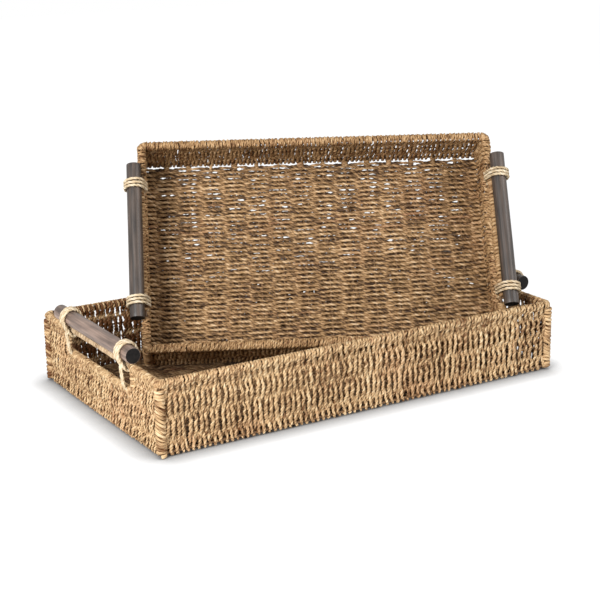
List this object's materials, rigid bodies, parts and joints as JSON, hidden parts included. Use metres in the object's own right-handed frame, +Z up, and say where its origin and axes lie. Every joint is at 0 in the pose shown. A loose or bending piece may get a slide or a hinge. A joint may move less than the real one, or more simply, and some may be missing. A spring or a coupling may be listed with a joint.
{
  "type": "woven tray set",
  "caption": "Nesting rectangular trays of seagrass cord woven on wire frames, with dark dowel handles lashed over hand-holes; the smaller tray leans in the larger and lifts out.",
  "frame": {"origin": "centre of the large tray's underside, on the table", "axes": "+X along the large tray's length, towards the right in the picture; +Y to its back; +Z up"},
  "size_m": [0.7552, 0.5121, 0.3574],
  "materials": {
    "large_seagrass": "twisted seagrass cord, pale golden tan, matte",
    "small_seagrass": "twisted seagrass cord, mid brown, matte",
    "straw_cord": "pale straw cord, matte",
    "dowel_wood": "dark grey-brown stain, satin",
    "frame_wire": "plain drawn wire"
  },
  "bodies": {
    "large_tray": {"large_rim_wire": "frame_wire", "large_foot_wire": "frame_wire", "large_corner_wires": "frame_wire", "large_wall_wires": "frame_wire", "large_floor_wires": "frame_wire", "large_hand_hole_wires": "frame_wire", "large_floor_weave": "large_seagrass", "large_front_weave": "large_seagrass", "large_back_weave": "large_seagrass", "large_left_weave": "large_seagrass", "large_right_weave": "large_seagrass", "large_front_left_corner": "large_seagrass", "large_front_right_corner": "large_seagrass", "large_back_left_corner": "large_seagrass", "large_back_right_corner": "large_seagrass", "large_left_grip": "straw_cord", "large_right_grip": "straw_cord", "large_left_dowel": "dowel_wood", "large_right_dowel": "dowel_wood", "large_left_front_lashing": "straw_cord", "large_left_back_lashing": "straw_cord", "large_right_front_lashing": "straw_cord", "large_right_back_lashing": "straw_cord"},
    "small_tray": {"small_rim_wire": "frame_wire", "small_foot_wire": "frame_wire", "small_corner_wires": "frame_wire", "small_wall_wires": "frame_wire", "small_floor_wires": "frame_wire", "small_hand_hole_wires": "frame_wire", "small_floor_weave": "small_seagrass", "small_front_weave": "small_seagrass", "small_back_weave": "small_seagrass", "small_left_weave": "small_seagrass", "small_right_weave": "small_seagrass", "small_front_left_corner": "small_seagrass", "small_front_right_corner": "small_seagrass", "small_back_left_corner": "small_seagrass", "small_back_right_corner": "small_seagrass", "small_left_grip": "small_seagrass", "small_right_grip": "small_seagrass", "small_left_dowel": "dowel_wood", "small_right_dowel": "dowel_wood", "small_left_front_lashing": "straw_cord", "small_left_back_lashing": "straw_cord", "small_right_front_lashing": "straw_cord", "small_right_back_lashing": "straw_cord"}
  },
  "joints": [
    {"name": "small_tray_lift", "type": "slide", "parent": "large_tray", "child": "small_tray", "axis": [0, 0, 1], "range_m": [0, 0.2]}
  ]
}
